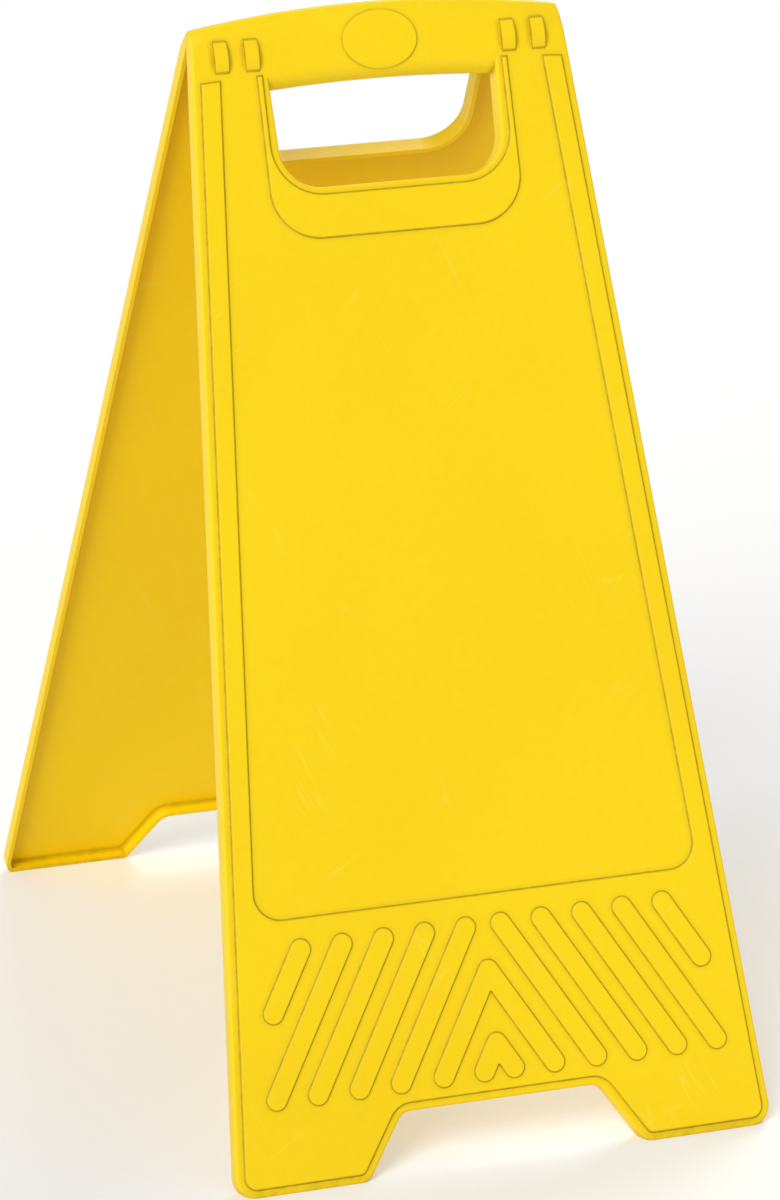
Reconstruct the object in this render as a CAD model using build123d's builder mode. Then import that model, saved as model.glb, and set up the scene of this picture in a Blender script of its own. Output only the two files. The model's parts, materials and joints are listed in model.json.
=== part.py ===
from build123d import *
import os
from math import acos, asin, cos, degrees, hypot, radians, sin, sqrt, tan

# A folding floor warning sign: two moulded panels lean on each other and turn on two short steel
# pins inside a hollow handle bar. Sizes are in millimetres. X runs along the width, the front panel
# stands at -Y, Z is up, and the origin lies on the floor midway between the panels.
#
# A panel is drawn on its outer face. There "across" is measured from its middle line, "slant" up the
# face from the floor, and "depth" inwards from the face.

# Stance and size
stand_half_angle = 21.9  # each panel from upright, in degrees
hinge_slant = 592.6  # up the face, from the floor to the level of the hinge line
hinge_depth = 12.0
foot_width = 300.0  # over both feet

# Moulded walls
wall = 2.5
edge_round = 1.5
rim_clearance = 3.0  # edge flange to the plane in which the panels fold together
window_clearance = 1.0  # hand hole flange to that plane
seam_gap = 0.15  # each half of the handle bar to the middle of the sign

# Feet and the notch between them
foot_corner = 11.0
notch_height = 34.0
notch_width_top = 110.6
notch_width_floor = 154.8
notch_corner = 9.0

# Handle bar
ridge_depth_middle = 2.7  # from the face's plane in to the ridge
ridge_depth_end = 6.0
shoulder_radius = 35.0
apex_radius = 2.8
apex_limit = 0.9  # most of the room below the face that the ridge's round may take
lip_drop = 17.1  # hinge level down to the bar's rolled lower edge
lip_radius = 8.5
lip_arch = 2.4  # rise of that edge at the middle
badge_width = 41.0
badge_height = 31.2
badge_rise = 2.2  # middle of the bare oval pad above the hinge level
badge_proud = 0.8

# Hand hole
window_width_top = 126.6
window_width_bottom = 122.0
window_drop = 72.9  # hinge level down to the hole's lower edge
window_corner = 22.0

# Raised relief on the face
relief_height = 1.2
relief_draft = 45.0
relief_drop = 10.3  # hinge level down to the arc of the relief's upper ends
relief_crown_radius = 1525.0  # of that arc
rim_inset = 4.0
field_inset = 15.6
field_bottom = 142.0
field_corner = 14.0
surround_gap = 2.7
surround_arm = 4.0
surround_gap_low = 3.4
surround_foot = 23.8
surround_corner = 27.0
rib_height = 1.0
rib_width = 12.0
rib_pitch = 22.8
rib_lean = 30.5  # degrees from the middle line
rib_first = 9.8  # middle line to the first rib's upper end
rib_top = 125.3
rib_bottom = 49.2
rib_side_margin = 23.2
chevron_apexes = (101.7, 63.2)

# Hinge
pin_diameter = 5.0
pin_clearance = 0.05
pin_tip_chamfer = 0.5
head_diameter = 8.0
head_thickness = 1.6
head_gap = 0.15
end_play = 0.1
lug_width = 7.2
lug_gap = 1.2
lug_clearance = 2.0  # knuckle to the other panel's inner face
boss_proud = 3.0
boss_skin = 0.5
boss_drop = 1.0  # hinge level down to the middle of the bosses
boss_rise = 7.8  # hinge level up to their square upper ends
cap_diameter = 9.0
cap_thickness = 2.2
cap_wall = 0.6
cap_grip = 0.02
end_space = 7.3  # cap to the handle bar's end wall

# Stance worked out
lean = radians(stand_half_angle)
hinge_height = hinge_slant * cos(lean) - hinge_depth * sin(lean)
foot_reach = hinge_slant * sin(lean) + hinge_depth * cos(lean)
seam_reach = foot_reach - seam_gap
front_face = Plane((0, -foot_reach, 0), x_dir=(1, 0, 0), z_dir=(0, -cos(lean), sin(lean)))
rear_face = Plane((0, foot_reach, 0), x_dir=(-1, 0, 0), z_dir=(0, cos(lean), sin(lean)))
upright = Vector(cos(lean), sin(lean))  # straight up, in a section's slant and outward axes

# Depths of the flanges and radii of the hinge
flange_depth = hinge_depth - rim_clearance
window_flange_depth = hinge_depth - window_clearance
sole_line = flange_depth * tan(lean) + wall
pin_radius = pin_diameter / 2
eye_radius = hinge_depth - wall - lug_clearance
boss_radius = hinge_depth + boss_proud
boss_seat = wall - boss_skin

# Hinge stack, from the hand hole outwards, and the panel's width that takes it
window_half_top = window_width_top / 2
head_start = window_half_top + wall + head_gap
inner_lug = head_start + head_thickness + end_play + lug_width / 2
rear_lug = inner_lug + lug_width + lug_gap
outer_lug = rear_lug + lug_width + lug_gap
cap_start = outer_lug + lug_width / 2 + end_play
cap_end = cap_start + cap_thickness
pin_end = cap_end - cap_wall - end_play
hinge_half_width = cap_end + end_space + wall
side_taper = (foot_width / 2 - hinge_half_width) / hinge_slant
side_slope = hypot(1, side_taper)

# Levels up the face
window_bottom = hinge_slant - window_drop
lip_line = hinge_slant - lip_drop + lip_radius
window_flange_top = hinge_slant - eye_radius
relief_top = hinge_slant - relief_drop
lip_arch_radius = (window_half_top**2 + lip_arch**2) / (2 * lip_arch)
lip_reach = window_half_top + (edge_round + wall) / 2  # past the hole's round, inside its flange
beyond = 2 * hinge_depth  # how far a cutting shape runs past what it cuts
trim_depth = 4 * beyond  # through the handle bar, from a plane outside it
trim_top = hinge_slant + 2 * shoulder_radius
tolerance = 0.01

# Crown of the ridge: a circle through its middle and its two ends
ridge_middle = (seam_reach * cos(lean) - ridge_depth_middle) / sin(lean)
crown_rise = (ridge_depth_end - ridge_depth_middle) / sin(lean)
crown_radius = (hinge_half_width**2 + crown_rise**2) / (2 * crown_rise)
crown_reach = hinge_half_width + 2 * wall
crown_stations = (-crown_reach, -crown_reach / 2, 0, crown_reach / 2, crown_reach)


def half_width(slant):
    """Half the panel's width at a level."""
    return foot_width / 2 - side_taper * slant


def section_plane(face, across):
    """Plane that cuts a panel at one place across it, with X up the face and Y out of it."""
    return Plane(face.from_local_coords((across, 0, 0)), x_dir=face.y_dir, z_dir=face.x_dir)


def seam_point(depth):
    """Point of the upright seam face at a depth, as slant and outward distance."""
    height = (seam_reach * cos(lean) - depth) / sin(lean)
    return Vector(seam_reach * sin(lean) + height * cos(lean), -depth)


def ridge_arcs(across):
    """Centres of the shoulder arc and of the small arc at the ridge, and the small arc's radius."""
    height = ridge_middle - crown_radius + sqrt(crown_radius**2 - across**2)
    ridge = seam_point(seam_reach * cos(lean) - height * sin(lean))
    radius = min(apex_radius, apex_limit * -ridge.Y / (1 - sin(lean)))
    tip = ridge - upright * radius
    rise = sqrt((shoulder_radius - radius) ** 2 - (shoulder_radius + tip.Y) ** 2)
    return Vector(tip.X - rise, -shoulder_radius), tip, radius


hood_start = ridge_arcs(crown_reach)[0].X - wall


def hood_section(face, across):
    """Outline of half the handle bar: face, shoulder, rounded ridge, seam face and rim."""
    centre, tip, radius = ridge_arcs(across)
    outward = Vector(0, 1)
    towards_tip = (tip - centre).normalized()
    blend = centre + towards_tip * shoulder_radius
    mid_shoulder = centre + (outward + towards_tip).normalized() * shoulder_radius
    mid_apex = tip + (towards_tip + upright).normalized() * radius
    ridge = tip + upright * radius
    with BuildSketch(section_plane(face, across)) as section:
        with BuildLine():
            Line((hood_start, 0), (centre.X, 0))
            ThreePointArc((centre.X, 0), mid_shoulder, blend)
            ThreePointArc(blend, mid_apex, ridge)
            Polyline(ridge, seam_point(flange_depth), (hood_start, -flange_depth), (hood_start, 0))
        make_face()
    return section.sketch


def core_section(face, across):
    """Outline of the hollow in the handle bar, which is open at the seam and below."""
    centre, _, _ = ridge_arcs(across)
    radius = shoulder_radius - wall
    past_seam = foot_reach + wall
    drop = centre.X * sin(lean) + shoulder_radius * cos(lean)
    turn = acos((drop - past_seam) / radius) - lean
    top = centre + Vector(sin(turn), cos(turn)) * radius
    middle = centre + Vector(sin(turn / 2), cos(turn / 2)) * radius
    low = top - upright * ((flange_depth + wall + top.Y) / sin(lean))
    with BuildSketch(section_plane(face, across)) as section:
        with BuildLine():
            Line((hood_start, -wall), (centre.X, -wall))
            ThreePointArc((centre.X, -wall), middle, top)
            Polyline(top, low, (hood_start, low.Y), (hood_start, -wall))
        make_face()
    return section.sketch


def side_trim(face, inset):
    """Trapezoid between the panel's sides, or a wall inside them, that runs past the handle bar."""
    low = hood_start - beyond
    low_half = half_width(low) - inset * side_slope
    high_half = half_width(trim_top) - inset * side_slope
    with BuildSketch(face.offset(beyond)) as trim:
        with BuildLine():
            Polyline(
                (-low_half, low),
                (low_half, low),
                (high_half, trim_top),
                (-high_half, trim_top),
                close=True,
            )
        make_face()
    return trim.sketch


def outline_points(top):
    """Corners of the panel with its feet, up to a level, and the radius of each."""
    floor_half = notch_width_floor / 2
    top_half = notch_width_top / 2
    corners = [
        (-top_half, notch_height, notch_corner),
        (-floor_half, 0, notch_corner),
        (-foot_width / 2, 0, foot_corner),
        (-half_width(top), top, 0),
        (half_width(top), top, 0),
        (foot_width / 2, 0, foot_corner),
        (floor_half, 0, notch_corner),
        (top_half, notch_height, notch_corner),
    ]
    return [corner[:2] for corner in corners], [corner[2] for corner in corners]


def cup_points(half_top, half_bottom, bottom, corner, top):
    """Corners of a U-shaped area with rounded lower corners, and the radius of each."""
    points = [(-half_top, top), (-half_bottom, bottom), (half_bottom, bottom), (half_top, top)]
    return points, [0, corner, corner, 0]


def window_cup(grow):
    """Hand hole, grown by a wall or not, with straight sides past the bar's lower edge."""
    half_bottom = window_width_bottom / 2 + grow
    lower = window_bottom - grow
    return cup_points(window_half_top + grow, half_bottom, lower, window_corner + grow, window_flange_top)


def tray_outline(face):
    """Whole panel up to the handle bar."""
    points, radii = outline_points(hood_start)
    with BuildSketch(face) as outline:
        with BuildLine():
            FilletPolyline(*points, radius=radii, close=True)
        make_face()
    return outline.sketch


def pocket_outline(face):
    """Hollow of the tray, a wall inside its edges and above the level soles."""
    points, radii = outline_points(hood_start + wall)
    with BuildSketch(face.offset(-wall)) as outline:
        with BuildLine():
            FilletPolyline(*points, radius=radii, close=True)
        make_face()
        offset(amount=-wall)
        with Locations((0, sole_line)):
            Rectangle(foot_width, hinge_slant, align=(Align.CENTER, Align.MIN), mode=Mode.INTERSECT)
    return outline.sketch


def window_outline(face):
    """Hand hole, closed at the top by the arch of the handle bar's lower edge."""
    points, radii = window_cup(0)
    with BuildSketch(face) as hole:
        with BuildLine():
            FilletPolyline(*points, radius=radii, close=True)
        make_face()
        with Locations((0, lip_line - lip_arch_radius)):
            Circle(lip_arch_radius, mode=Mode.INTERSECT)
    return hole.sketch


def trim_to_crown():
    """Cut the sketch in hand to the shallow arc of the relief's upper ends."""
    with Locations((0, relief_top - relief_crown_radius)):
        Circle(relief_crown_radius, mode=Mode.INTERSECT)


def cup_band(plane, outer, inner, crowned):
    """Band between two U-shaped areas, cut to the relief's arc or not."""
    with BuildSketch(plane) as band:
        for (points, radii), mode in ((outer, Mode.ADD), (inner, Mode.SUBTRACT)):
            with BuildLine():
                FilletPolyline(*points, radius=radii, close=True)
            make_face(mode=mode)
        if crowned:
            trim_to_crown()
    return band.sketch


def surround_band(face):
    """Raised band below and beside the hand hole."""
    half_inner = window_half_top + surround_gap
    half_outer = half_inner + surround_arm
    inner_low = window_bottom - surround_gap_low
    outer_low = inner_low - surround_foot
    outer = cup_points(half_outer, half_outer, outer_low, surround_corner, relief_top)
    inner = cup_points(half_inner, half_inner, inner_low, surround_corner, relief_top + beyond)
    return cup_band(face, outer, inner, crowned=True)


def border_area(face):
    """Raised border: bands up both sides and the whole lower part, around the bare message field."""
    points, radii = outline_points(relief_top + rim_inset)
    field_top = relief_top + beyond
    field_half_top = half_width(field_top) - field_inset * side_slope
    field_half_bottom = half_width(field_bottom) - field_inset * side_slope
    field = cup_points(field_half_top, field_half_bottom, field_bottom, field_corner, field_top)
    with BuildSketch(face) as border:
        with BuildLine():
            FilletPolyline(*points, radius=radii, close=True)
        make_face()
        offset(amount=-rim_inset)
        with BuildLine():
            FilletPolyline(*field[0], radius=field[1], close=True)
        make_face(mode=Mode.SUBTRACT)
        trim_to_crown()
    return border.sketch


def lip_section(face, turn):
    """Rolled lower edge of the handle bar, cut at one end of its arch."""
    centre = face.from_local_coords((0, lip_line - lip_arch_radius, 0))
    across = face.x_dir * sin(turn) + face.y_dir * cos(turn)
    inner_radius = lip_radius - wall
    outer_side = lip_arch_radius - lip_radius
    inner_side = lip_arch_radius - inner_radius
    diagonal = sqrt(0.5)
    mid_outer = (lip_arch_radius - diagonal * lip_radius, (diagonal - 1) * lip_radius)
    mid_inner = (lip_arch_radius - diagonal * inner_radius, diagonal * inner_radius - lip_radius)
    with BuildSketch(Plane(centre, x_dir=across, z_dir=across.cross(face.z_dir))) as section:
        with BuildLine():
            ThreePointArc((lip_arch_radius, 0), mid_outer, (outer_side, -lip_radius))
            Polyline(
                (outer_side, -lip_radius),
                (outer_side, -window_flange_depth),
                (inner_side, -window_flange_depth),
                (inner_side, -lip_radius),
            )
            ThreePointArc((inner_side, -lip_radius), mid_inner, (lip_arch_radius, -wall))
            Line((lip_arch_radius, -wall), (lip_arch_radius, 0))
        make_face()
    return section.sketch


def rib_ends():
    """Upper and lower end centres of the slanted ribs right of the middle line."""
    spread = tan(radians(rib_lean))
    side_limit = foot_width / 2 - rib_side_margin
    start = rib_first
    while start < half_width(rib_top) - rib_side_margin:
        nearest = (start + spread * rib_top - side_limit) / (spread - side_taper)
        low = max(rib_bottom, nearest)
        yield Vector(start, rib_top), Vector(start + spread * (rib_top - low), low)
        start += rib_pitch
    for apex in chevron_apexes:
        yield Vector(0, apex), Vector(spread * (apex - rib_bottom), rib_bottom)


def rib_pattern(face):
    """Slanted ribs and two chevrons above the notch, alike on both sides of the middle line."""
    with BuildSketch(face.offset(relief_height)) as ribs:
        for upper, lower in rib_ends():
            middle = (upper + lower) / 2
            length = (upper - lower).length
            for side in (-1, 1):
                with Locations((side * middle.X, middle.Y)):
                    SlotCenterToCenter(length, rib_width, rotation=90 + side * rib_lean)
    return ribs.sketch


def badge_pad(face, body):
    """Bare oval pad on the handle bar: a piece of its wall, moved outwards."""
    with BuildPart(mode=Mode.PRIVATE) as pad:
        with BuildSketch(face.offset(-hinge_depth)):
            with Locations((0, hinge_slant + badge_rise)):
                Ellipse(badge_width / 2, badge_height / 2)
        extrude(amount=beyond)
        add(body, mode=Mode.INTERSECT)
    return pad.part.moved(Location(face.z_dir * badge_proud))


def lug_profile(face, across):
    """Hinge knuckle: a web from the panel's inner face to an eye around the pin."""
    with BuildSketch(section_plane(face, across)) as profile:
        with Locations((hinge_slant, -hinge_depth)):
            Circle(eye_radius)
        with Locations((hinge_slant, -wall)):
            Rectangle(2 * eye_radius, hinge_depth - wall, align=(Align.CENTER, Align.MAX))
        with Locations((hinge_slant, -hinge_depth)):
            Circle(pin_radius + pin_clearance, mode=Mode.SUBTRACT)
    return profile.sketch


def boss_profile(face, across):
    """Outside of a knuckle: a round bulge out of the face, cut square at its upper end."""
    with BuildSketch(section_plane(face, across)) as profile:
        with Locations((hinge_slant - boss_drop, -hinge_depth)):
            Circle(boss_radius)
        with Locations((hinge_slant + boss_rise, -boss_seat)):
            Rectangle(2 * boss_radius, boss_radius, align=(Align.MAX, Align.MIN), mode=Mode.INTERSECT)
    return profile.sketch


def is_end_edge(face, edge):
    """Whether an edge of the handle bar runs over its shoulder at one end."""
    start, middle, end = (face.to_local_coords(edge @ share) for share in (0, 0.5, 1))
    at_side = abs(abs(middle.X) - half_width(middle.Y)) < tolerance
    return at_side and abs(start.Y - end.Y) > tolerance and middle.Z > -ridge_depth_end


def is_window_edge(face, edge):
    """Whether an edge is part of the hand hole's outline on the outer face, below the handle bar."""
    middle = face.to_local_coords(edge @ 0.5)
    in_hole = abs(middle.X) < window_half_top + tolerance and middle.Y > window_bottom - tolerance
    return abs(middle.Z) < tolerance and in_hole and middle.Y < lip_line - lip_arch - tolerance


def make_panel(face, lugs):
    """One moulded panel with its half of the handle bar, and knuckles at given places each side."""
    with BuildPart() as core:
        loft([core_section(face, across) for across in crown_stations])
        extrude(side_trim(face, wall), amount=-trim_depth, mode=Mode.INTERSECT)

    with BuildPart() as hood:
        loft([hood_section(face, across) for across in crown_stations])
        extrude(side_trim(face, 0), amount=-trim_depth, mode=Mode.INTERSECT)
        fillet(hood.edges().filter_by(lambda edge: is_end_edge(face, edge)), edge_round)
        add(core.part, mode=Mode.SUBTRACT)

    with BuildPart() as panel:
        # Tray with its edge flange, and the handle bar on top of it
        extrude(tray_outline(face), amount=-flange_depth)
        outer_edges = panel.faces().sort_by(Axis(face.origin, face.z_dir))[-1].edges()
        fillet(outer_edges.sort_by(Axis(face.origin, face.y_dir))[:-1], edge_round)
        extrude(pocket_outline(face), amount=-beyond, mode=Mode.SUBTRACT)
        add(hood.part)

        # Hand hole with its flange and the bar's rolled edge
        extrude(window_outline(face), amount=-beyond, mode=Mode.SUBTRACT)
        fillet(panel.edges().filter_by(lambda edge: is_window_edge(face, edge)), edge_round)
        flange = cup_band(face.offset(-wall), window_cup(wall), window_cup(0), crowned=False)
        extrude(flange, amount=wall - window_flange_depth)
        turn = asin(lip_reach / lip_arch_radius)
        arch_axis = Axis(face.from_local_coords((0, lip_line - lip_arch_radius, 0)), face.z_dir)
        revolve(lip_section(face, turn), axis=arch_axis, revolution_arc=degrees(2 * turn))

        # Relief on the face
        extrude(border_area(face), amount=relief_height, taper=relief_draft)
        extrude(surround_band(face), amount=relief_height, taper=relief_draft)
        extrude(rib_pattern(face), amount=rib_height, taper=relief_draft)
        add(badge_pad(face, panel.part))

        # Knuckles and their bosses
        for lug in lugs:
            for middle in (-lug, lug):
                start = middle - lug_width / 2
                extrude(lug_profile(face, start), amount=lug_width)
                extrude(boss_profile(face, start), amount=lug_width)

        # Level soles
        split(bisect_by=Plane.XY, keep=Keep.TOP)
    return panel


def hinge_plane(side, across):
    """Plane square to the hinge line at a distance from the middle, facing outwards on one side."""
    return Plane((side * across, 0, hinge_height), x_dir=(0, 1, 0), z_dir=(side, 0, 0))


def make_pin(side):
    """Headed steel pin, pushed outwards through the knuckles from inside the handle bar."""
    with BuildPart() as pin:
        with BuildSketch(hinge_plane(side, head_start)):
            Circle(head_diameter / 2)
        extrude(amount=head_thickness)
        with BuildSketch(hinge_plane(side, head_start + head_thickness)):
            Circle(pin_radius)
        extrude(amount=pin_end - head_start - head_thickness)
        tip = pin.faces().sort_by(Axis.X)[-1 if side > 0 else 0]
        chamfer(tip.edges(), pin_tip_chamfer)
    return pin


def make_cap(side):
    """Push-on cap over the pin's outer end."""
    with BuildPart() as cap:
        with BuildSketch(hinge_plane(side, cap_start)):
            Circle(cap_diameter / 2)
        extrude(amount=cap_thickness)
        with BuildSketch(hinge_plane(side, cap_start)):
            Circle(pin_radius + cap_grip)
        extrude(amount=cap_thickness - cap_wall, mode=Mode.SUBTRACT)
        end = cap.faces().sort_by(Axis.X)[-1 if side > 0 else 0]
        chamfer(end.edges(), cap_wall / 2)
    return cap


os.makedirs("parts", exist_ok=True)

front_panel = make_panel(front_face, (inner_lug, outer_lug))
front_panel.part.label = "front_panel"
export_step(front_panel.part, "parts/front_panel.step")

rear_panel = make_panel(rear_face, (rear_lug,))
rear_panel.part.label = "rear_panel"
export_step(rear_panel.part, "parts/rear_panel.step")

for side_name, side in (("left", -1), ("right", 1)):
    pin = make_pin(side)
    pin.part.label = f"{side_name}_hinge_pin"
    export_step(pin.part, f"parts/{side_name}_hinge_pin.step")

    cap = make_cap(side)
    cap.part.label = f"{side_name}_pin_cap"
    export_step(cap.part, f"parts/{side_name}_pin_cap.step")
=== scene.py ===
"""Dresses a folding floor warning sign: two moulded yellow panels on short steel hinge pins.

Lengths are in metres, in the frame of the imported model: X runs along the width, the front panel
stands at -Y, Z is up and the origin lies on the floor between the feet.
"""

import functools
import json
import logging
import math
import operator
from collections.abc import Iterable, Mapping
from dataclasses import dataclass, field
from enum import Enum
from typing import Any, ClassVar, Union

import bmesh
import bpy
from mathutils import Matrix, Vector

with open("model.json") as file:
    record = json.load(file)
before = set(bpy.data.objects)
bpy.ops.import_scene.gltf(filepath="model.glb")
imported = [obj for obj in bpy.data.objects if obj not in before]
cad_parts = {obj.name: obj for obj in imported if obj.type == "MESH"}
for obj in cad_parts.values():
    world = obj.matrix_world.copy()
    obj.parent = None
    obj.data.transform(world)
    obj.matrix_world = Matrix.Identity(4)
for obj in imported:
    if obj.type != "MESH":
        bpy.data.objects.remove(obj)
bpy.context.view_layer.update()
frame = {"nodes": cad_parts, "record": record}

log = logging.getLogger("floor_sign")

Colour = tuple[float, float, float]
Span = tuple[float, float]  # values at which a smooth step starts and is complete
Term = Union["Wire", float]

WHITE: Colour = (1.0, 1.0, 1.0)


class Side(Enum):
    """The two ends of the handle bar."""

    LEFT = "left"
    RIGHT = "right"


class Face(Enum):
    """The two panels of the sign."""

    FRONT = "front"
    REAR = "rear"


class Wire:
    """One shader value; arithmetic on it adds Math nodes to its graph."""

    def __init__(self, graph: "ShaderGraph", socket: bpy.types.NodeSocket) -> None:
        """Keep the socket and the graph that it belongs to."""
        self.graph = graph
        self.socket = socket

    def _math(self, operation: str, first: Term, second: Term) -> "Wire":
        """Add one Math node.

        Args:
            operation: Name of the node's operation.
            first: Left operand.
            second: Right operand.

        Returns:
            The node's value.
        """
        return self.graph.add(
            "ShaderNodeMath",
            {"operation": operation},
            {"Value": first, "Value_001": second},
        )

    def __add__(self, other: Term) -> "Wire":
        """Return self + other."""
        return self._math("ADD", self, other)

    def __radd__(self, other: Term) -> "Wire":
        """Return other + self."""
        return self._math("ADD", other, self)

    def __sub__(self, other: Term) -> "Wire":
        """Return self - other."""
        return self._math("SUBTRACT", self, other)

    def __rsub__(self, other: Term) -> "Wire":
        """Return other - self."""
        return self._math("SUBTRACT", other, self)

    def __mul__(self, other: Term) -> "Wire":
        """Return self * other."""
        return self._math("MULTIPLY", self, other)

    def __rmul__(self, other: Term) -> "Wire":
        """Return other * self."""
        return self._math("MULTIPLY", other, self)

    def __pow__(self, other: Term) -> "Wire":
        """Return self to the power of other."""
        return self._math("POWER", self, other)

    def __abs__(self) -> "Wire":
        """Return the size of self without its sign."""
        return self._math("ABSOLUTE", self, 0.0)

    def __mod__(self, other: Term) -> "Wire":
        """Return what is left of self after whole steps of other, also below zero."""
        return self._math("FLOORED_MODULO", self, other)


class ShaderGraph:
    """The node tree of one material or world."""

    rays_around: ClassVar[int] = 4  # for the nodes that look at the shape around a point

    def __init__(self, owner: bpy.types.Material | bpy.types.World) -> None:
        """Start an empty tree.

        Args:
            owner: Material or world that the tree belongs to.
        """
        owner.use_nodes = True
        self.tree = owner.node_tree
        self.tree.nodes.clear()
        is_world = isinstance(owner, bpy.types.World)
        self.output = "ShaderNodeOutputWorld" if is_world else "ShaderNodeOutputMaterial"

    def add(
        self,
        kind: str,
        settings: Mapping[str, Any] | None = None,
        sockets: Mapping[str, Any] | None = None,
        output: str | None = None,
    ) -> Wire:
        """Add one node.

        Args:
            kind: Type of the node.
            settings: Attributes of the node, set before its sockets.
            sockets: Value or wire for each input, by the input's identifier.
            output: Identifier of the output to return, or None for the first.

        Returns:
            The chosen output, or the node's first input where it has no output.
        """
        node = self.tree.nodes.new(kind)
        for name, value in (settings or {}).items():
            setattr(node, name, value)
        inputs = {socket.identifier: socket for socket in node.inputs}
        for identifier, value in (sockets or {}).items():
            if isinstance(value, Wire):
                self.tree.links.new(value.socket, inputs[identifier])
            else:
                inputs[identifier].default_value = value
        outputs = {socket.identifier: socket for socket in node.outputs}
        if not outputs:
            return Wire(self, node.inputs[0])
        return Wire(self, outputs[output] if output else node.outputs[0])

    def place(self) -> Wire:
        """Return the Object coordinates."""
        return self.add("ShaderNodeTexCoord", output="Object")

    def axes(self, place: Wire) -> tuple[Wire, Wire, Wire]:
        """Split coordinates.

        Args:
            place: Coordinates to split.

        Returns:
            Their X, Y and Z.
        """
        split = self.add("ShaderNodeSeparateXYZ", sockets={"Vector": place})
        x, y, z = split.socket.node.outputs
        return Wire(self, x), Wire(self, y), Wire(self, z)

    def joined(self, x: Wire, y: Wire, z: Wire) -> Wire:
        """Return coordinates made of three values."""
        return self.add("ShaderNodeCombineXYZ", sockets={"X": x, "Y": y, "Z": z})

    def stretched(
        self,
        place: Wire,
        scale: tuple[float, float, float],
        turn: float = 0.0,
    ) -> Wire:
        """Turn coordinates about Y and then scale them along each axis.

        Args:
            place: Coordinates to start from.
            scale: Factor along X, Y and Z.
            turn: Angle about Y, in radians.

        Returns:
            The new coordinates.
        """
        turned = self.add(
            "ShaderNodeVectorRotate",
            {"rotation_type": "Y_AXIS"},
            {"Vector": place, "Angle": turn},
        )
        return self.add(
            "ShaderNodeVectorMath",
            {"operation": "MULTIPLY"},
            {"Vector": turned, "Vector_001": scale},
        )

    def noise(
        self,
        place: Wire,
        size: float,
        detail: float = 2.0,
        roughness: float = 0.5,
    ) -> Wire:
        """Add a noise pattern.

        Args:
            place: Coordinates of the pattern.
            size: Rough size of the pattern's patches, in the coordinates' unit.
            detail: Octaves of finer pattern.
            roughness: Weight of the finer octaves.

        Returns:
            The pattern's value, from 0 to 1.
        """
        return self.add(
            "ShaderNodeTexNoise",
            {"noise_dimensions": "3D"},
            {"Vector": place, "Scale": 1 / size, "Detail": detail, "Roughness": roughness},
        )

    def ramp(self, value: Wire, span: Span) -> Wire:
        """Add a smooth step of a value.

        Args:
            value: Value to step.
            span: Values at which the step starts and is complete.

        Returns:
            The step, from 0 to 1.
        """
        return self.add(
            "ShaderNodeMapRange",
            {"interpolation_type": "SMOOTHSTEP"},
            {"Value": value, "From Min": span[0], "From Max": span[1]},
        )

    def blend(self, factor: Wire, first: Wire | Colour, second: Wire | Colour) -> Wire:
        """Mix two colours.

        Args:
            factor: Share of the second colour.
            first: Colour at a factor of 0.
            second: Colour at a factor of 1.

        Returns:
            The mixed colour.
        """
        colours = [c if isinstance(c, Wire) else (*c, 1.0) for c in (first, second)]
        return self.add(
            "ShaderNodeMix",
            {"data_type": "RGBA"},
            {"Factor_Float": factor, "A_Color": colours[0], "B_Color": colours[1]},
            output="Result_Color",
        )

    def rounded_normal(self, radius: float) -> Wire:
        """Return the surface's normal with its edges rounded to a radius."""
        return self.add("ShaderNodeBevel", {"samples": self.rays_around}, {"Radius": radius})

    def openness(self, reach: float, inside: bool = False) -> Wire:
        """Find how open the surface is, 1 on a flat face.

        Args:
            reach: Distance that is looked over.
            inside: Whether to look into the material, which finds outer edges.

        Returns:
            The share of directions that meet nothing.
        """
        return self.add(
            "ShaderNodeAmbientOcclusion",
            {"samples": self.rays_around, "inside": inside, "only_local": True},
            {"Distance": reach},
            output="AO",
        )

    def raised(self, height: Wire, normal: Wire) -> Wire:
        """Return a normal bent by a height in metres."""
        sockets = {"Distance": 1.0, "Height": height, "Normal": normal}
        return self.add("ShaderNodeBump", sockets=sockets)

    def surface(self, shader: Wire) -> None:
        """Send a shader to the output."""
        self.add(self.output, sockets={"Surface": shader})

    @staticmethod
    def total(values: Iterable[Wire]) -> Wire:
        """Return the sum of values."""
        return functools.reduce(operator.add, values)


@dataclass(frozen=True)
class FacePoint:
    """Where a point of the surface lies on its panel.

    Attributes:
        across: Distance along X from the middle line.
        proud: Distance out of the plane of the outer face, negative inside the panel.
        level: Height above the floor.
    """

    across: Wire
    proud: Wire
    level: Wire


@dataclass(frozen=True)
class FacePlane:
    """The plane of a panel's outer face, alike on both panels but for the sign of Y.

    Attributes:
        sideways: Y part of the plane's normal, without its sign.
        upwards: Z part of the normal.
        distance: Distance of the plane from the origin.
    """

    sideways: float
    upwards: float
    distance: float

    @classmethod
    def from_record(cls) -> "FacePlane":
        """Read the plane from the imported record.

        Returns:
            The plane that the rear message field lies in.
        """
        mounts = {mount["name"]: mount for mount in frame["record"]["mounts"]}
        field_mount = mounts["rear_message_field"]
        _, sideways, upwards = field_mount["axis"]
        _, y, z = field_mount["pos_m"]
        return cls(sideways, upwards, y * sideways + z * upwards)

    def point(self, graph: ShaderGraph, place: Wire) -> FacePoint:
        """Find where a place lies on its panel.

        Args:
            graph: Tree that the nodes join.
            place: Object coordinates.

        Returns:
            The point on the panel.
        """
        across, y, level = graph.axes(place)
        proud = abs(y) * self.sideways + level * self.upwards - self.distance
        return FacePoint(across, proud, level)

    def along(self, rise: Wire) -> Wire:
        """Return the length up the face that a rise in height takes."""
        return rise * (1 / self.sideways)


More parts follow.
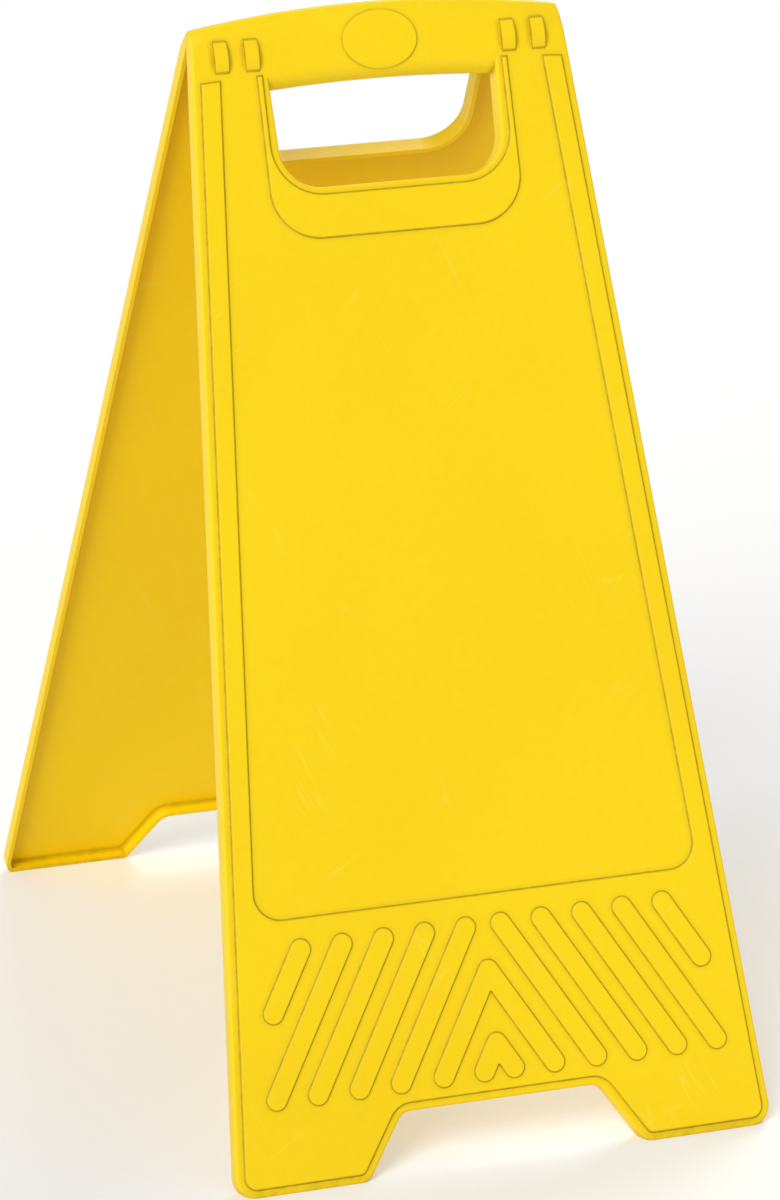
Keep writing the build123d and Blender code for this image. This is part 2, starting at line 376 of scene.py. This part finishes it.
@dataclass(frozen=True)
class Relief:
    """The raised relief of a panel, with heights out of the face and levels above the floor.

    Attributes:
        height: Height of the border round the message field and of the band round the hand hole.
        crown_share: Share of that height from which a surface counts as raised.
        rib_height: Height of the ribs above the border.
        rib_end: Levels over which the place of the ribs ends.
        pad_side: Distances from the middle line over which the place of the oval pad ends.
        pad_foot: Levels over which the place of the oval pad starts.
        foot_shares: Shares of a slope's height at which the mask of its foot starts, is
            complete and starts to fade.
    """

    height: float = 0.0012
    crown_share: float = 0.8
    rib_height: float = 0.0010
    rib_end: Span = (0.125, 0.129)
    pad_side: Span = (0.0225, 0.0245)
    pad_foot: Span = (0.530, 0.533)
    foot_shares: tuple[float, float, float] = (0.02, 0.10, 0.45)

    def crown(self, graph: ShaderGraph, point: FacePoint) -> Wire:
        """Return a mask of what stands as high as the relief."""
        return graph.ramp(point.proud, (self.height * self.crown_share, self.height))

    def foot_shade_lines(self, graph: ShaderGraph, point: FacePoint) -> Wire:
        """Find the lines of painted shade along the foot of the relief, but not on the pad.

        Args:
            graph: Tree that the nodes join.
            point: Where the surface lies on its panel.

        Returns:
            A mask of the lines, from 0 to 1.
        """
        ribs = self._slope_foot(graph, point.proud - self.height, self.rib_height)
        below_field = 1.0 - graph.ramp(point.level, self.rib_end)
        beside_pad = graph.ramp(abs(point.across), self.pad_side)
        below_pad = 1.0 - graph.ramp(point.level, self.pad_foot)
        off_pad = 1.0 - (1.0 - beside_pad) * (1.0 - below_pad)
        return self._slope_foot(graph, point.proud, self.height) * off_pad + ribs * below_field

    def _slope_foot(self, graph: ShaderGraph, rise: Wire, height: float) -> Wire:
        """Find the lower part of a slope.

        Args:
            graph: Tree that the nodes join.
            rise: Height of the surface above the slope's foot.
            height: Height of the whole slope.

        Returns:
            A mask of that part, from 0 to 1.
        """
        start, complete, fade = (share * height for share in self.foot_shares)
        begun = graph.ramp(rise, (start, complete))
        return begun * (1.0 - graph.ramp(rise, (fade, height)))


@dataclass(frozen=True)
class EjectorMarks:
    """The shallow round marks that ejector pins leave inside a panel, in two columns.

    Attributes:
        column: Distance of each column from the middle line.
        lowest: Level at which the rows start.
        pitch: Height of one row, with a mark at its middle.
        rows: Number of rows.
        radius: Radius of a mark.
        depth: How far a mark is sunk.
        edge: Width over which a mark's edge falls.
        row_fade: Height over which the rows start and end.
        wall: Thickness of the panel's wall.
        wall_span: Distances from the wall's inner face over which the marks end.
    """

    column: float = 0.034
    lowest: float = 0.130
    pitch: float = 0.085
    rows: int = 4
    radius: float = 0.004
    depth: float = 0.00015
    edge: float = 0.0004
    row_fade: float = 0.001
    wall: float = 0.0025
    wall_span: Span = (0.0001, 0.0004)

    def height(self, graph: ShaderGraph, plane: FacePlane, point: FacePoint) -> Wire:
        """Work out the height of the surface at the marks.

        Args:
            graph: Tree that the nodes join.
            plane: Plane of the panel's outer face.
            point: Where the surface lies on its panel.

        Returns:
            The height, negative in a mark and 0 elsewhere.
        """
        aside = abs(point.across) - self.column
        along = plane.along((point.level - self.lowest) % self.pitch - self.pitch / 2)
        reach = (aside * aside + along * along) ** 0.5
        disc = 1.0 - graph.ramp(reach, (self.radius - self.edge, self.radius))
        inside = 1.0 - graph.ramp(abs(point.proud + self.wall), self.wall_span)
        highest = self.lowest + self.rows * self.pitch
        above = graph.ramp(point.level, (self.lowest - self.row_fade, self.lowest))
        below = 1.0 - graph.ramp(point.level, (highest - self.row_fade, highest))
        return disc * inside * (above * below) * -self.depth


@dataclass(frozen=True)
class Stroke:
    """One direction of rubbing.

    Attributes:
        turn: Angle on the face from the middle line, in degrees.
        patch: Size of the patches that show it.
    """

    turn: float
    patch: float


@dataclass(frozen=True)
class Scratches:
    """Sparse, fine rub marks: lines at which a noise drawn out along a stroke has one value.

    Attributes:
        strokes: Directions of the marks.
        size: Size of the noise across a stroke.
        draw: Factor on the coordinate along a stroke, which draws the noise out.
        value: Value of the noise on a mark.
        line_span: Distances from that value over which a mark ends.
        patch_span: Values of the patches' noise over which marks come in.
    """

    strokes: tuple[Stroke, ...] = (Stroke(24.0, 0.055), Stroke(-57.0, 0.045))
    size: float = 0.015
    draw: float = 0.06
    value: float = 0.53
    line_span: Span = (0.002, 0.012)
    patch_span: Span = (0.54, 0.66)

    def mask(self, graph: ShaderGraph, place: Wire) -> Wire:
        """Find the marks.

        Args:
            graph: Tree that the nodes join.
            place: Coordinates along the face, with Y out of it.

        Returns:
            A mask of the marks, from 0 to 1, and up to 2 where two of them cross.
        """
        return graph.total(self._lines(graph, place, stroke) for stroke in self.strokes)

    def _lines(self, graph: ShaderGraph, place: Wire, stroke: Stroke) -> Wire:
        """Find the marks of one stroke.

        Args:
            graph: Tree that the nodes join.
            place: Coordinates along the face, with Y out of it.
            stroke: Direction and patches of the marks.

        Returns:
            A mask of the marks, from 0 to 1.
        """
        drawn_out = graph.stretched(place, (1.0, 1.0, self.draw), math.radians(stroke.turn))
        off_line = abs(graph.noise(drawn_out, self.size) - self.value)
        lines = 1.0 - graph.ramp(off_line, self.line_span)
        return lines * graph.ramp(graph.noise(place, stroke.patch), self.patch_span)


@dataclass(frozen=True)
class Grain:
    """One scale of the unevenness of a moulded skin."""

    size: float
    height: float
    detail: float = 1.0

    def rise(self, graph: ShaderGraph, place: Wire) -> Wire:
        """Return the height of the skin."""
        return graph.noise(place, self.size, self.detail) * self.height


@dataclass(frozen=True)
class Strength:
    """How strong a mark is: a steady share, and a share that comes and goes with the flecks."""

    steady: float
    flecked: float

    def over(self, fleck: Wire) -> Wire:
        """Return the strength over the surface."""
        return self.steady + self.flecked * fleck


@dataclass(frozen=True)
class YellowPlastic:
    """Moulded polypropylene: fine grain, painted shade in corners and along the foot of the relief,
    light wear from use.
    """

    plane: FacePlane
    name: str = "moulded_yellow"

    # Colours, and the broad clouds and small flecks that vary them
    colour: Colour = (0.972, 0.690, 0.001)
    deep_colour: Colour = (0.944, 0.645, 0.001)
    rubbed_colour: Colour = (0.975, 0.770, 0.070)
    # Dark colour of the painted shade in corners and along the relief's foot, and of the dirt at the
    # soles
    shade_and_dirt_colour: Colour = (0.300, 0.190, 0.004)
    cloud_size: float = 0.16
    cloud_share: float = 0.75
    fleck_size: float = 0.006
    fleck_detail: float = 4.0
    fleck_roughness: float = 0.6
    tone_span: Span = (0.3, 0.7)

    # Gloss, and what the tones and the marks do to the roughness
    gloss: float = 0.28
    refraction: float = 1.49
    roughness: float = 0.42
    tone_roughness: float = 0.10
    scratch_roughness: float = 0.12
    # Roughness added where the painted shade and the dirt lie
    shade_and_dirt_roughness: float = 0.20
    crown_polish: float = 0.06

    # Skin of the moulding
    grain: Grain = Grain(size=0.0006, height=0.000075, detail=2.0)
    peel: Grain = Grain(size=0.0032, height=0.000060)
    ripple: Grain = Grain(size=0.045, height=0.000040)
    edge_radius: float = 0.0007
    relief: Relief = Relief()
    ejector_marks: EjectorMarks = EjectorMarks()

    # Painted shade in corners and along the foot of the relief, dirt at the soles, rubbed edges and
    # scratches
    corner_reach: float = 0.0035
    corner_span: Span = (0.02, 0.20)
    # Painted shade in the corners, where the surface is less open
    corner_shade: Strength = Strength(steady=0.25, flecked=0.15)
    # Painted shade along the foot of the relief slopes
    foot_shade: Strength = Strength(steady=0.50, flecked=0.16)
    sole_span: Span = (0.0, 0.007)
    sole_dirt: Strength = Strength(steady=0.10, flecked=0.25)
    edge_reach: float = 0.00175
    edge_span: Span = (0.70, 0.98)
    edge_rub: Strength = Strength(steady=0.15, flecked=0.45)
    scratches: Scratches = Scratches()
    scratch_tint: float = 0.28

    def material(self) -> bpy.types.Material:
        """Make the material.

        Returns:
            The finished material.
        """
        made = bpy.data.materials.new(self.name)
        graph = ShaderGraph(made)
        place = graph.place()
        point = self.plane.point(graph, place)
        cloud = graph.ramp(graph.noise(place, self.cloud_size), self.tone_span)
        speckle = graph.noise(place, self.fleck_size, self.fleck_detail, self.fleck_roughness)
        fleck = graph.ramp(speckle, self.tone_span)
        shade_and_dirt = self._shade_and_dirt(graph, point, fleck)
        rubbed = self._rubbed(graph, fleck)
        on_face = graph.joined(point.across, point.proud, self.plane.along(point.level))
        scratch = self.scratches.mask(graph, on_face)

        tone = cloud * self.cloud_share + fleck * (1 - self.cloud_share)
        colour = graph.blend(tone, self.deep_colour, self.colour)
        colour = graph.blend(scratch * self.scratch_tint, colour, self.rubbed_colour)
        colour = graph.blend(rubbed, colour, self.rubbed_colour)
        # Darken with painted shade in corners and along the relief's foot, and with dirt at the
        # soles
        colour = graph.blend(shade_and_dirt, colour, self.shade_and_dirt_colour)

        roughness = (cloud + fleck - 1.0) * self.tone_roughness + self.roughness
        roughness = roughness + scratch * self.scratch_roughness + shade_and_dirt * self.shade_and_dirt_roughness
        roughness = roughness - self.relief.crown(graph, point) * self.crown_polish

        skins = (self.grain, self.peel, self.ripple)
        height = graph.total(skin.rise(graph, place) for skin in skins)
        height = height + self.ejector_marks.height(graph, self.plane, point)
        normal = graph.raised(height, graph.rounded_normal(self.edge_radius))
        graph.surface(
            graph.add(
                "ShaderNodeBsdfPrincipled",
                sockets={
                    "Base Color": colour,
                    "Roughness": roughness,
                    "IOR": self.refraction,
                    "Specular IOR Level": self.gloss,
                    "Normal": normal,
                },
            )
        )
        return made

    def _shade_and_dirt(self, graph: ShaderGraph, point: FacePoint, fleck: Wire) -> Wire:
        """Work out where the painted shade lies, in corners and along the foot of the relief, and
        where dirt lies at the soles.

        Args:
            graph: Tree that the nodes join.
            point: Where the surface lies on its panel.
            fleck: Pattern that breaks them up.

        Returns:
            The share of painted shade and dirt; where it passes 1, the colour is all their dark
            colour.
        """
        # Painted shade: darker where the surface is less open, in corners and creases
        corner = graph.ramp(1.0 - graph.openness(self.corner_reach), self.corner_span)
        # Painted shade along the foot of each relief slope
        foot_shade_lines = self.relief.foot_shade_lines(graph, point)
        sole = 1.0 - graph.ramp(point.level, self.sole_span)
        # The painted shade in corners and along the relief's foot, together
        painted_shade = corner * self.corner_shade.over(fleck) + foot_shade_lines * self.foot_shade.over(fleck)
        return painted_shade + sole * self.sole_dirt.over(fleck)

    def _rubbed(self, graph: ShaderGraph, fleck: Wire) -> Wire:
        """Return how far the outer edges are rubbed, broken up by the flecks."""
        edge = 1.0 - graph.openness(self.edge_reach, inside=True)
        return graph.ramp(edge, self.edge_span) * self.edge_rub.over(fleck)


@dataclass(frozen=True)
class DrawnSteel:
    """Bright steel with marks of drawing along the pin, and faint stains."""

    name: str = "drawn_steel"
    colour: Colour = (0.56, 0.56, 0.54)
    stained_colour: Colour = (0.40, 0.37, 0.33)
    roughness: float = 0.26
    detail: float = 3.0
    mark_size: float = 0.0005
    mark_draw: float = 0.05
    mark_height: float = 0.000012
    mark_roughness: float = 0.18
    stain_size: float = 0.006
    stain_span: Span = (0.45, 0.75)
    stain_roughness: float = 0.12
    edge_radius: float = 0.00025

    def material(self) -> bpy.types.Material:
        """Make the material.

        Returns:
            The finished material.
        """
        made = bpy.data.materials.new(self.name)
        graph = ShaderGraph(made)
        place = graph.place()
        drawn_out = graph.stretched(place, (self.mark_draw, 1.0, 1.0))
        lines = graph.noise(drawn_out, self.mark_size, self.detail)
        stain = graph.ramp(graph.noise(place, self.stain_size, self.detail), self.stain_span)
        marked = lines * self.mark_roughness + stain * self.stain_roughness
        edges = graph.rounded_normal(self.edge_radius)
        graph.surface(
            graph.add(
                "ShaderNodeBsdfPrincipled",
                sockets={
                    "Base Color": graph.blend(stain, self.colour, self.stained_colour),
                    "Metallic": 1.0,
                    "Roughness": marked + self.roughness,
                    "Normal": graph.raised(lines * self.mark_height, edges),
                },
            )
        )
        return made


@dataclass(frozen=True)
class ZincPlate:
    """Pressed steel with a pale, slightly yellow zinc coat."""

    name: str = "zinc_plate"
    colour: Colour = (0.64, 0.62, 0.55)
    dull_colour: Colour = (0.47, 0.46, 0.43)
    roughness: float = 0.34
    cloud_size: float = 0.0035
    cloud_detail: float = 3.0
    cloud_span: Span = (0.35, 0.7)
    dull_roughness: float = 0.16
    pit_size: float = 0.0006
    pit_height: float = 0.000010
    edge_radius: float = 0.00025

    def material(self) -> bpy.types.Material:
        """Make the material.

        Returns:
            The finished material.
        """
        made = bpy.data.materials.new(self.name)
        graph = ShaderGraph(made)
        place = graph.place()
        patches = graph.noise(place, self.cloud_size, self.cloud_detail)
        dull = graph.ramp(patches, self.cloud_span)
        pits = graph.noise(place, self.pit_size)
        edges = graph.rounded_normal(self.edge_radius)
        graph.surface(
            graph.add(
                "ShaderNodeBsdfPrincipled",
                sockets={
                    "Base Color": graph.blend(dull, self.colour, self.dull_colour),
                    "Metallic": 1.0,
                    "Roughness": dull * self.dull_roughness + self.roughness,
                    "Normal": graph.raised(pits * self.pit_height, edges),
                },
            )
        )
        return made


def dress(node: str, material: bpy.types.Material) -> None:
    """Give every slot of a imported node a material.

    Args:
        node: Name of the node.
        material: Finish that it gets.
    """
    for slot in frame["nodes"][node].material_slots:
        slot.material = material
    log.info("%s dressed in %s", node, material.name)


@dataclass
class Panel:
    """One moulded panel with its half of the handle bar."""

    face: Face

    def dress(self, plastic: bpy.types.Material) -> None:
        """Give the panel its plastic."""
        dress(f"{self.face.value}_panel", plastic)


@dataclass
class HingeEnd:
    """The pin and the push-on cap at one end of the handle bar."""

    side: Side

    def dress(self, steel: bpy.types.Material, zinc: bpy.types.Material) -> None:
        """Give the pin and the cap their metals."""
        dress(f"{self.side.value}_hinge_pin", steel)
        dress(f"{self.side.value}_pin_cap", zinc)


@dataclass
class PhotoCamera:
    """The camera that the photograph was drawn from, in its frame of 780 by 1200 pixels.

    Attributes:
        place: Where the camera stands.
        yaw: Turn from +Y towards +X, in degrees.
        downward: Tilt below level, in degrees.
        roll: Turn about the line of sight that lifts the camera's right side, in degrees.
        focal_pixels: Focal length, in the photograph's pixels.
        long_side_pixels: Height of the photograph.
        sensor: Long side of the sensor, in millimetres.
    """

    place: tuple[float, float, float] = (-0.9237, -2.6821, 1.2843)
    yaw: float = 19.232
    downward: float = 20.33
    roll: float = 0.449
    focal_pixels: float = 5519.3
    long_side_pixels: float = 1200.0
    sensor: float = 36.0

    def build(self) -> bpy.types.Object:
        """Make the camera the scene's own.

        Returns:
            The camera's object.
        """
        data = bpy.data.cameras.new("photo_camera")
        data.sensor_width = self.sensor
        data.lens = self.focal_pixels / self.long_side_pixels * self.sensor
        camera = bpy.data.objects.new("photo_camera", data)
        bpy.context.scene.collection.objects.link(camera)
        yaw, downward = math.radians(self.yaw), math.radians(self.downward)
        level = math.cos(downward)
        ahead = Vector((math.sin(yaw) * level, math.cos(yaw) * level, -math.sin(downward)))
        right = Vector((math.cos(yaw), -math.sin(yaw), 0.0))
        right.rotate(Matrix.Rotation(-math.radians(self.roll), 3, ahead))
        turn = Matrix((right, right.cross(ahead), -ahead)).transposed()
        camera.matrix_world = Matrix.Translation(self.place) @ turn.to_4x4()
        bpy.context.scene.camera = camera
        return camera


@dataclass
class Lamp:
    """One broad, distant softbox.

    Attributes:
        name: Name of the lamp.
        towards: Direction in which it shines.
        strength: Light on a surface that faces it, in watts per square metre.
        spread: Angle that it fills, seen from the sign, in radians.
    """

    name: str
    towards: tuple[float, float, float]
    strength: float
    spread: float = math.radians(30)

    def build(self) -> None:
        """Add the lamp to the scene, shining along its direction."""
        data = bpy.data.lights.new(self.name, "SUN")
        data.energy = self.strength
        data.angle = self.spread
        lamp = bpy.data.objects.new(self.name, data)
        lamp.rotation_mode = "QUATERNION"
        lamp.rotation_quaternion = Vector(self.towards).to_track_quat("-Z", "Y")
        bpy.context.scene.collection.objects.link(lamp)


@dataclass
class Studio:
    """A white floor under an even white sky, with broad lamps.

    Attributes:
        floor_radius: Radius of the round floor.
        floor_segments: Straight edges of its rim.
        floor_colour: Colour of its matt surface.
        floor_lift: Light that is added where the floor itself is seen, so that it shows white.
        sky_strength: Light of the sky on the sign.
        lamps: The softboxes.
    """

    floor_radius: float = 14.0
    floor_segments: int = 96
    floor_colour: Colour = (0.80, 0.80, 0.80)
    floor_lift: float = 0.18
    sky_strength: float = 0.47
    lamps: list[Lamp] = field(
        default_factory=lambda: [
            Lamp("key_lamp", towards=(0.62, 0.58, -0.70), strength=1.52),
            Lamp("fill_lamp", towards=(0.76, 0.63, -0.12), strength=0.50),
            Lamp("back_lamp", towards=(-0.45, -0.65, -0.60), strength=1.20),
        ]
    )

    def build(self) -> None:
        """Make the sky, the floor and the lamps."""
        bpy.context.scene.view_settings.view_transform = "Standard"
        self._sky()
        self._floor()
        for lamp in self.lamps:
            lamp.build()

    @staticmethod
    def _seen(graph: ShaderGraph) -> Wire:
        """Return 1 for rays that show the background itself, and 0 for light on the object."""
        rays = ("Is Camera Ray", "Is Glossy Ray", "Is Transmission Ray")
        return graph.total(graph.add("ShaderNodeLightPath", output=ray) for ray in rays)

    def _sky(self) -> None:
        """Light the scene evenly, and show white where nothing stands."""
        world = bpy.data.worlds.new("white_sky")
        bpy.context.scene.world = world
        graph = ShaderGraph(world)
        light, white = (
            graph.add("ShaderNodeBackground", sockets={"Color": (*WHITE, 1.0), "Strength": strength})
            for strength in (self.sky_strength, 1.0)
        )
        sockets = {"Fac": self._seen(graph), "Shader": light, "Shader_001": white}
        graph.surface(graph.add("ShaderNodeMixShader", sockets=sockets))

    def _floor(self) -> None:
        """Lay a round floor that stays white but for the sign's shadow."""
        mesh = bpy.data.meshes.new("floor")
        shape = bmesh.new()
        bmesh.ops.create_circle(
            shape,
            cap_ends=True,
            segments=self.floor_segments,
            radius=self.floor_radius,
        )
        shape.to_mesh(mesh)
        shape.free()
        floor = bpy.data.objects.new("floor", mesh)
        bpy.context.scene.collection.objects.link(floor)
        mesh.materials.append(self._floor_material())

    def _floor_material(self) -> bpy.types.Material:
        """Make the floor's matt white.

        Returns:
            The finished material.
        """
        made = bpy.data.materials.new("white_floor")
        graph = ShaderGraph(made)
        matt = graph.add("ShaderNodeBsdfDiffuse", sockets={"Color": (*self.floor_colour, 1.0)})
        lift = graph.add("ShaderNodeEmission", sockets={"Strength": self.floor_lift})
        lifted = graph.add("ShaderNodeAddShader", sockets={"Shader": matt, "Shader_001": lift})
        sockets = {"Fac": self._seen(graph), "Shader": matt, "Shader_001": lifted}
        graph.surface(graph.add("ShaderNodeMixShader", sockets=sockets))
        return made


def main() -> None:
    """Build the studio and dress the sign."""
    logging.basicConfig(level=logging.INFO, format="%(name)s: %(message)s")
    PhotoCamera().build()
    Studio().build()
    plastic = YellowPlastic(FacePlane.from_record()).material()
    steel = DrawnSteel().material()
    zinc = ZincPlate().material()
    for face in Face:
        Panel(face).dress(plastic)
    for side in Side:
        HingeEnd(side).dress(steel, zinc)


if __name__ == "__main__":
    main()
